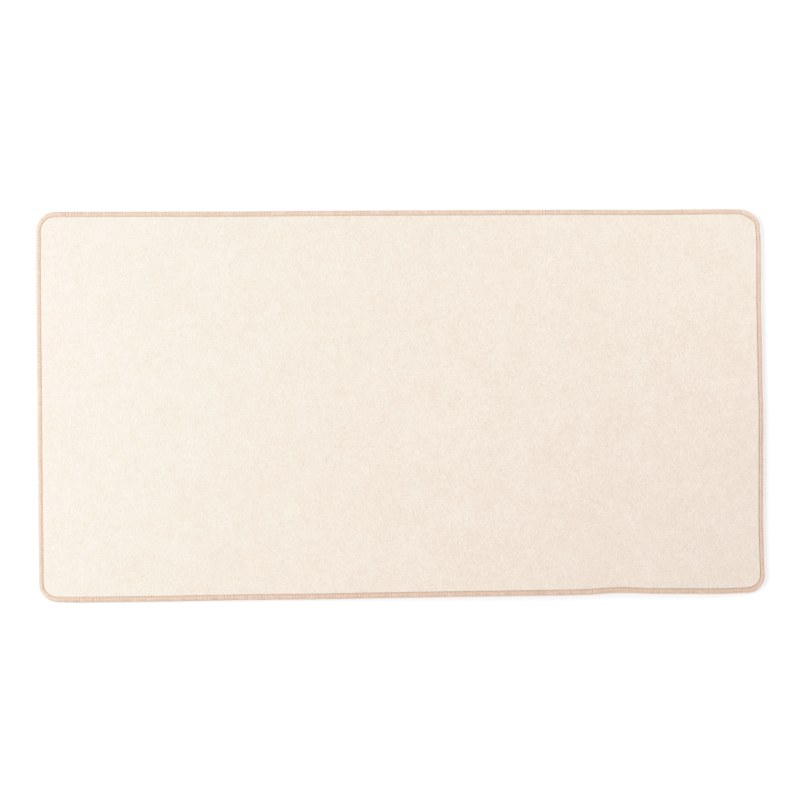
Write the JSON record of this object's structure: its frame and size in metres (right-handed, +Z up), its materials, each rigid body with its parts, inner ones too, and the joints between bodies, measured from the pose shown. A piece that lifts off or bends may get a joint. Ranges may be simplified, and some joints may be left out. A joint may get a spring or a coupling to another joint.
{
  "type": "desk mat",
  "caption": "Flat rectangular desk mat with rounded corners: wool felt bonded to a non-slip rubber base, bound all round by an overlocked thread edge.",
  "frame": {"origin": "middle of the mat's outline, on the surface that the mat lies on", "axes": "+X along the mat's length to the right of the person at the desk, +Y across its width away from that person, +Z up out of the felt"},
  "size_m": [0.75, 0.4, 0.0047],
  "materials": {
    "felt": "cream pressed wool felt, matt, fine short fibres",
    "thread": "peach-beige twisted polyester overlock thread, soft sheen",
    "base_rubber": "warm grey-beige non-slip rubber, matt, fine moulded relief",
    "film": "translucent milky hot-melt film, satin"
  },
  "bodies": {
    "root": {"rubber_base": "base_rubber", "bonding_film": "film", "felt_top": "felt", "needle_thread": "thread", "upper_looper_thread": "thread", "lower_looper_thread": "thread"}
  },
  "joints": []
}
